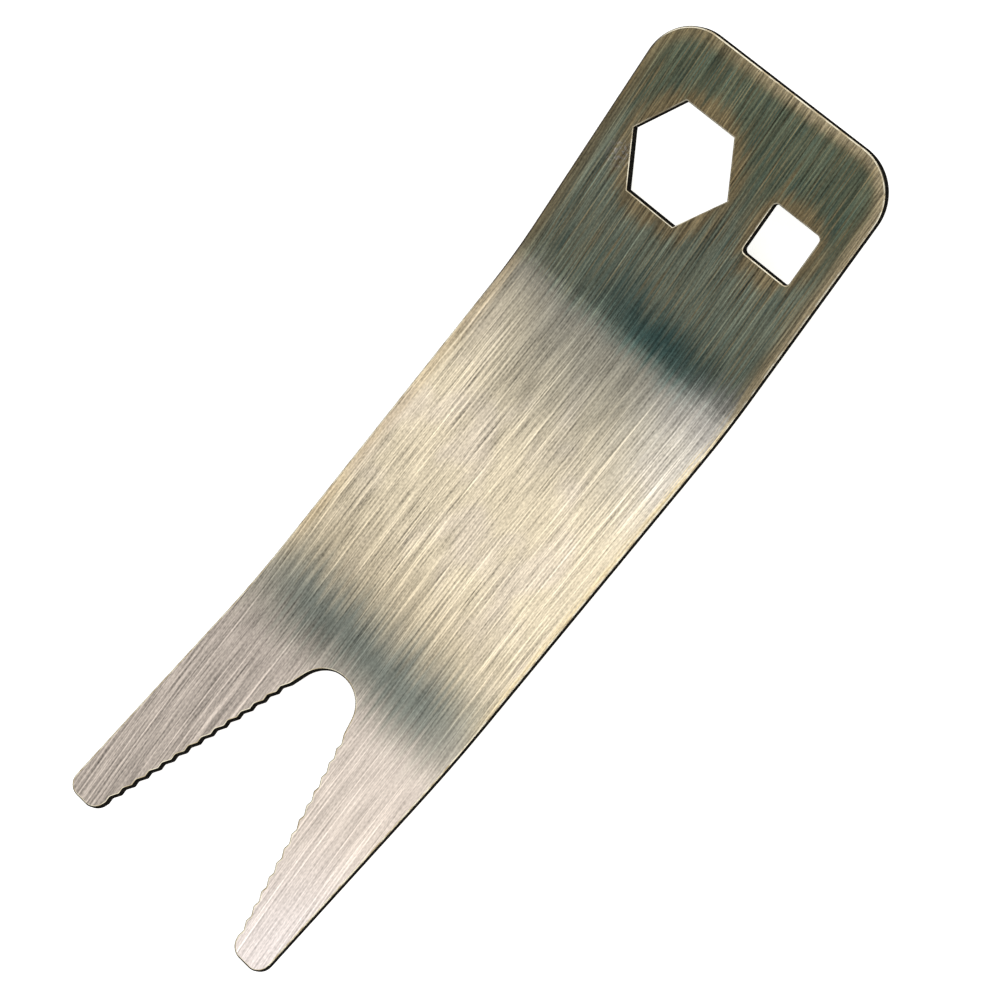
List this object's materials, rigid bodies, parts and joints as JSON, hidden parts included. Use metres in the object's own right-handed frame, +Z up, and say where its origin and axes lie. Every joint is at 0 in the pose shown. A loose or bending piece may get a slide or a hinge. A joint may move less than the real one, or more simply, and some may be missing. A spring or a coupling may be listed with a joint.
{
  "type": "divot repair tool",
  "caption": "Flat hand tool of bent sheet steel with a toothed V-shaped fork at one end and hexagonal and square wrench holes in its rounded head.",
  "frame": {"origin": "under the middle of the tool, on the surface that it lies on, at the centre of its overall box", "axes": "+Y along the tool towards the head with the wrench holes, +X across it towards the square hole, +Z up, the side that both ends rise to"},
  "size_m": [0.03, 0.1048, 0.009],
  "materials": {
    "brushed_bronze_steel": "brushed along its length, with a thin antique bronze tone"
  },
  "bodies": {
    "root": {"forked_plate": "brushed_bronze_steel"}
  },
  "joints": []
}
